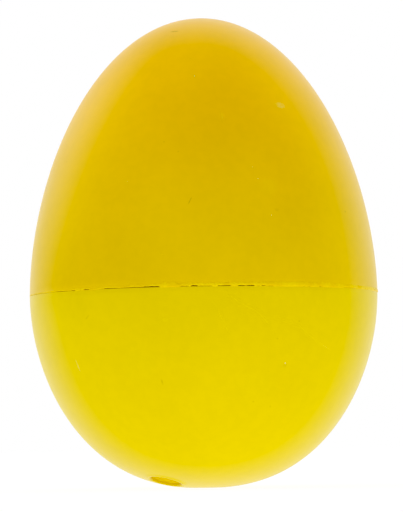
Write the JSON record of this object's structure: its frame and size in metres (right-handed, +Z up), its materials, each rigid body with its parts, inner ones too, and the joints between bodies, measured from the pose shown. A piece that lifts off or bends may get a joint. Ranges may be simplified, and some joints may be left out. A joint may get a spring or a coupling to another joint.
{
  "type": "egg shaker",
  "caption": "Hollow yellow plastic egg in two welded half shells, with a filler plug in its base and loose steel shot that rattles when it is shaken.",
  "frame": {"origin": "middle of the small standing flat on the egg's blunt end", "axes": "+Z up the egg's long axis to its pointed end, -Y towards the side whose left foot holds the filler plug, +X to that side's right"},
  "size_m": [0.0446, 0.0446, 0.06],
  "materials": {
    "upper_shell_plastic": "satin",
    "lower_shell_plastic": "satin",
    "filler_plug_plastic": "matte",
    "weld_bead_plastic": "satin",
    "steel_shot": "polished"
  },
  "bodies": {
    "shell": {"upper_shell": "upper_shell_plastic", "lower_shell": "lower_shell_plastic", "filler_plug": "filler_plug_plastic", "weld_bead": "weld_bead_plastic"},
    "shot_pellet_01": {"shot_pellet_01": "steel_shot"},
    "shot_pellet_02": {"shot_pellet_02": "steel_shot"},
    "shot_pellet_03": {"shot_pellet_03": "steel_shot"},
    "shot_pellet_04": {"shot_pellet_04": "steel_shot"},
    "shot_pellet_05": {"shot_pellet_05": "steel_shot"},
    "shot_pellet_06": {"shot_pellet_06": "steel_shot"},
    "shot_pellet_07": {"shot_pellet_07": "steel_shot"},
    "shot_pellet_08": {"shot_pellet_08": "steel_shot"},
    "shot_pellet_09": {"shot_pellet_09": "steel_shot"},
    "shot_pellet_10": {"shot_pellet_10": "steel_shot"},
    "shot_pellet_11": {"shot_pellet_11": "steel_shot"},
    "shot_pellet_12": {"shot_pellet_12": "steel_shot"},
    "shot_pellet_13": {"shot_pellet_13": "steel_shot"},
    "shot_pellet_14": {"shot_pellet_14": "steel_shot"},
    "shot_pellet_15": {"shot_pellet_15": "steel_shot"},
    "shot_pellet_16": {"shot_pellet_16": "steel_shot"},
    "shot_pellet_17": {"shot_pellet_17": "steel_shot"},
    "shot_pellet_18": {"shot_pellet_18": "steel_shot"},
    "shot_pellet_19": {"shot_pellet_19": "steel_shot"},
    "shot_pellet_20": {"shot_pellet_20": "steel_shot"},
    "shot_pellet_21": {"shot_pellet_21": "steel_shot"},
    "shot_pellet_22": {"shot_pellet_22": "steel_shot"},
    "shot_pellet_23": {"shot_pellet_23": "steel_shot"},
    "shot_pellet_24": {"shot_pellet_24": "steel_shot"},
    "shot_pellet_25": {"shot_pellet_25": "steel_shot"},
    "shot_pellet_26": {"shot_pellet_26": "steel_shot"},
    "shot_pellet_27": {"shot_pellet_27": "steel_shot"},
    "shot_pellet_28": {"shot_pellet_28": "steel_shot"},
    "shot_pellet_29": {"shot_pellet_29": "steel_shot"},
    "shot_pellet_30": {"shot_pellet_30": "steel_shot"},
    "shot_pellet_31": {"shot_pellet_31": "steel_shot"},
    "shot_pellet_32": {"shot_pellet_32": "steel_shot"},
    "shot_pellet_33": {"shot_pellet_33": "steel_shot"},
    "shot_pellet_34": {"shot_pellet_34": "steel_shot"},
    "shot_pellet_35": {"shot_pellet_35": "steel_shot"},
    "shot_pellet_36": {"shot_pellet_36": "steel_shot"},
    "shot_pellet_37": {"shot_pellet_37": "steel_shot"},
    "shot_pellet_38": {"shot_pellet_38": "steel_shot"},
    "shot_pellet_39": {"shot_pellet_39": "steel_shot"},
    "shot_pellet_40": {"shot_pellet_40": "steel_shot"},
    "shot_pellet_41": {"shot_pellet_41": "steel_shot"},
    "shot_pellet_42": {"shot_pellet_42": "steel_shot"},
    "shot_pellet_43": {"shot_pellet_43": "steel_shot"},
    "shot_pellet_44": {"shot_pellet_44": "steel_shot"},
    "shot_pellet_45": {"shot_pellet_45": "steel_shot"},
    "shot_pellet_46": {"shot_pellet_46": "steel_shot"},
    "shot_pellet_47": {"shot_pellet_47": "steel_shot"},
    "shot_pellet_48": {"shot_pellet_48": "steel_shot"},
    "shot_pellet_49": {"shot_pellet_49": "steel_shot"},
    "shot_pellet_50": {"shot_pellet_50": "steel_shot"},
    "shot_pellet_51": {"shot_pellet_51": "steel_shot"},
    "shot_pellet_52": {"shot_pellet_52": "steel_shot"},
    "shot_pellet_53": {"shot_pellet_53": "steel_shot"},
    "shot_pellet_54": {"shot_pellet_54": "steel_shot"},
    "shot_pellet_55": {"shot_pellet_55": "steel_shot"},
    "shot_pellet_56": {"shot_pellet_56": "steel_shot"}
  },
  "joints": [
    {"name": "shot_pellet_01_travel", "type": "slide", "parent": "shell", "child": "shot_pellet_01", "axis": [0, 0, 1], "range_m": [0, 0.02407]},
    {"name": "shot_pellet_02_travel", "type": "slide", "parent": "shot_pellet_01", "child": "shot_pellet_02", "axis": [0, 0, 1], "range_m": [0, 0.02407]},
    {"name": "shot_pellet_03_travel", "type": "slide", "parent": "shell", "child": "shot_pellet_03", "axis": [0, 0, 1], "range_m": [0, 0.02353]},
    {"name": "shot_pellet_04_travel", "type": "slide", "parent": "shot_pellet_03", "child": "shot_pellet_04", "axis": [0, 0, 1], "range_m": [0, 0.02353]},
    {"name": "shot_pellet_05_travel", "type": "slide", "parent": "shell", "child": "shot_pellet_05", "axis": [0, 0, 1], "range_m": [0, 0.02353]},
    {"name": "shot_pellet_06_travel", "type": "slide", "parent": "shot_pellet_05", "child": "shot_pellet_06", "axis": [0, 0, 1], "range_m": [0, 0.02353]},
    {"name": "shot_pellet_07_travel", "type": "slide", "parent": "shell", "child": "shot_pellet_07", "axis": [0, 0, 1], "range_m": [0, 0.02353]},
    {"name": "shot_pellet_08_travel", "type": "slide", "parent": "shot_pellet_07", "child": "shot_pellet_08", "axis": [0, 0, 1], "range_m": [0, 0.02353]},
    {"name": "shot_pellet_09_travel", "type": "slide", "parent": "shell", "child": "shot_pellet_09", "axis": [0, 0, 1], "range_m": [0, 0.02353]},
    {"name": "shot_pellet_10_travel", "type": "slide", "parent": "shot_pellet_09", "child": "shot_pellet_10", "axis": [0, 0, 1], "range_m": [0, 0.02353]},
    {"name": "shot_pellet_11_travel", "type": "slide", "parent": "shell", "child": "shot_pellet_11", "axis": [0, 0, 1], "range_m": [0, 0.02353]},
    {"name": "shot_pellet_12_travel", "type": "slide", "parent": "shot_pellet_11", "child": "shot_pellet_12", "axis": [0, 0, 1], "range_m": [0, 0.02353]},
    {"name": "shot_pellet_13_travel", "type": "slide", "parent": "shell", "child": "shot_pellet_13", "axis": [0, 0, 1], "range_m": [0, 0.02353]},
    {"name": "shot_pellet_14_travel", "type": "slide", "parent": "shot_pellet_13", "child": "shot_pellet_14", "axis": [0, 0, 1], "range_m": [0, 0.02353]},
    {"name": "shot_pellet_15_travel", "type": "slide", "parent": "shell", "child": "shot_pellet_15", "axis": [0, 0, 1], "range_m": [0, 0.02231]},
    {"name": "shot_pellet_16_travel", "type": "slide", "parent": "shot_pellet_15", "child": "shot_pellet_16", "axis": [0, 0, 1], "range_m": [0, 0.02231]},
    {"name": "shot_pellet_17_travel", "type": "slide", "parent": "shell", "child": "shot_pellet_17", "axis": [0, 0, 1], "range_m": [0, 0.02166]},
    {"name": "shot_pellet_18_travel", "type": "slide", "parent": "shot_pellet_17", "child": "shot_pellet_18", "axis": [0, 0, 1], "range_m": [0, 0.02166]},
    {"name": "shot_pellet_19_travel", "type": "slide", "parent": "shell", "child": "shot_pellet_19", "axis": [0, 0, 1], "range_m": [0, 0.02231]},
    {"name": "shot_pellet_20_travel", "type": "slide", "parent": "shot_pellet_19", "child": "shot_pellet_20", "axis": [0, 0, 1], "range_m": [0, 0.02231]},
    {"name": "shot_pellet_21_travel", "type": "slide", "parent": "shell", "child": "shot_pellet_21", "axis": [0, 0, 1], "range_m": [0, 0.02166]},
    {"name": "shot_pellet_22_travel", "type": "slide", "parent": "shot_pellet_21", "child": "shot_pellet_22", "axis": [0, 0, 1], "range_m": [0, 0.02166]},
    {"name": "shot_pellet_23_travel", "type": "slide", "parent": "shell", "child": "shot_pellet_23", "axis": [0, 0, 1], "range_m": [0, 0.02231]},
    {"name": "shot_pellet_24_travel", "type": "slide", "parent": "shot_pellet_23", "child": "shot_pellet_24", "axis": [0, 0, 1], "range_m": [0, 0.02231]},
    {"name": "shot_pellet_25_travel", "type": "slide", "parent": "shell", "child": "shot_pellet_25", "axis": [0, 0, 1], "range_m": [0, 0.02166]},
    {"name": "shot_pellet_26_travel", "type": "slide", "parent": "shot_pellet_25", "child": "shot_pellet_26", "axis": [0, 0, 1], "range_m": [0, 0.02166]},
    {"name": "shot_pellet_27_travel", "type": "slide", "parent": "shell", "child": "shot_pellet_27", "axis": [0, 0, 1], "range_m": [0, 0.02231]},
    {"name": "shot_pellet_28_travel", "type": "slide", "parent": "shot_pellet_27", "child": "shot_pellet_28", "axis": [0, 0, 1], "range_m": [0, 0.02231]},
    {"name": "shot_pellet_29_travel", "type": "slide", "parent": "shell", "child": "shot_pellet_29", "axis": [0, 0, 1], "range_m": [0, 0.02166]},
    {"name": "shot_pellet_30_travel", "type": "slide", "parent": "shot_pellet_29", "child": "shot_pellet_30", "axis": [0, 0, 1], "range_m": [0, 0.02166]},
    {"name": "shot_pellet_31_travel", "type": "slide", "parent": "shell", "child": "shot_pellet_31", "axis": [0, 0, 1], "range_m": [0, 0.02231]},
    {"name": "shot_pellet_32_travel", "type": "slide", "parent": "shot_pellet_31", "child": "shot_pellet_32", "axis": [0, 0, 1], "range_m": [0, 0.02231]},
    {"name": "shot_pellet_33_travel", "type": "slide", "parent": "shell", "child": "shot_pellet_33", "axis": [0, 0, 1], "range_m": [0, 0.02166]},
    {"name": "shot_pellet_34_travel", "type": "slide", "parent": "shot_pellet_33", "child": "shot_pellet_34", "axis": [0, 0, 1], "range_m": [0, 0.02166]},
    {"name": "shot_pellet_35_travel", "type": "slide", "parent": "shell", "child": "shot_pellet_35", "axis": [0, 0, 1], "range_m": [0, 0.02231]},
    {"name": "shot_pellet_36_travel", "type": "slide", "parent": "shot_pellet_35", "child": "shot_pellet_36", "axis": [0, 0, 1], "range_m": [0, 0.02231]},
    {"name": "shot_pellet_37_travel", "type": "slide", "parent": "shell", "child": "shot_pellet_37", "axis": [0, 0, 1], "range_m": [0, 0.02166]},
    {"name": "shot_pellet_38_travel", "type": "slide", "parent": "shot_pellet_37", "child": "shot_pellet_38", "axis": [0, 0, 1], "range_m": [0, 0.02166]},
    {"name": "shot_pellet_39_travel", "type": "slide", "parent": "shell", "child": "shot_pellet_39", "axis": [0, 0, 1], "range_m": [0, 0.04291]},
    {"name": "shot_pellet_40_travel", "type": "slide", "parent": "shell", "child": "shot_pellet_40", "axis": [0, 0, 1], "range_m": [0, 0.04291]},
    {"name": "shot_pellet_41_travel", "type": "slide", "parent": "shell", "child": "shot_pellet_41", "axis": [0, 0, 1], "range_m": [0, 0.03983]},
    {"name": "shot_pellet_42_travel", "type": "slide", "parent": "shell", "child": "shot_pellet_42", "axis": [0, 0, 1], "range_m": [0, 0.04291]},
    {"name": "shot_pellet_43_travel", "type": "slide", "parent": "shell", "child": "shot_pellet_43", "axis": [0, 0, 1], "range_m": [0, 0.04291]},
    {"name": "shot_pellet_44_travel", "type": "slide", "parent": "shell", "child": "shot_pellet_44", "axis": [0, 0, 1], "range_m": [0, 0.03983]},
    {"name": "shot_pellet_45_travel", "type": "slide", "parent": "shell", "child": "shot_pellet_45", "axis": [0, 0, 1], "range_m": [0, 0.04291]},
    {"name": "shot_pellet_46_travel", "type": "slide", "parent": "shell", "child": "shot_pellet_46", "axis": [0, 0, 1], "range_m": [0, 0.04291]},
    {"name": "shot_pellet_47_travel", "type": "slide", "parent": "shell", "child": "shot_pellet_47", "axis": [0, 0, 1], "range_m": [0, 0.03983]},
    {"name": "shot_pellet_48_travel", "type": "slide", "parent": "shell", "child": "shot_pellet_48", "axis": [0, 0, 1], "range_m": [0, 0.04291]},
    {"name": "shot_pellet_49_travel", "type": "slide", "parent": "shell", "child": "shot_pellet_49", "axis": [0, 0, 1], "range_m": [0, 0.04291]},
    {"name": "shot_pellet_50_travel", "type": "slide", "parent": "shell", "child": "shot_pellet_50", "axis": [0, 0, 1], "range_m": [0, 0.03983]},
    {"name": "shot_pellet_51_travel", "type": "slide", "parent": "shell", "child": "shot_pellet_51", "axis": [0, 0, 1], "range_m": [0, 0.04291]},
    {"name": "shot_pellet_52_travel", "type": "slide", "parent": "shell", "child": "shot_pellet_52", "axis": [0, 0, 1], "range_m": [0, 0.04291]},
    {"name": "shot_pellet_53_travel", "type": "slide", "parent": "shell", "child": "shot_pellet_53", "axis": [0, 0, 1], "range_m": [0, 0.03983]},
    {"name": "shot_pellet_54_travel", "type": "slide", "parent": "shell", "child": "shot_pellet_54", "axis": [0, 0, 1], "range_m": [0, 0.04291]},
    {"name": "shot_pellet_55_travel", "type": "slide", "parent": "shell", "child": "shot_pellet_55", "axis": [0, 0, 1], "range_m": [0, 0.04291]},
    {"name": "shot_pellet_56_travel", "type": "slide", "parent": "shell", "child": "shot_pellet_56", "axis": [0, 0, 1], "range_m": [0, 0.03983]}
  ]
}
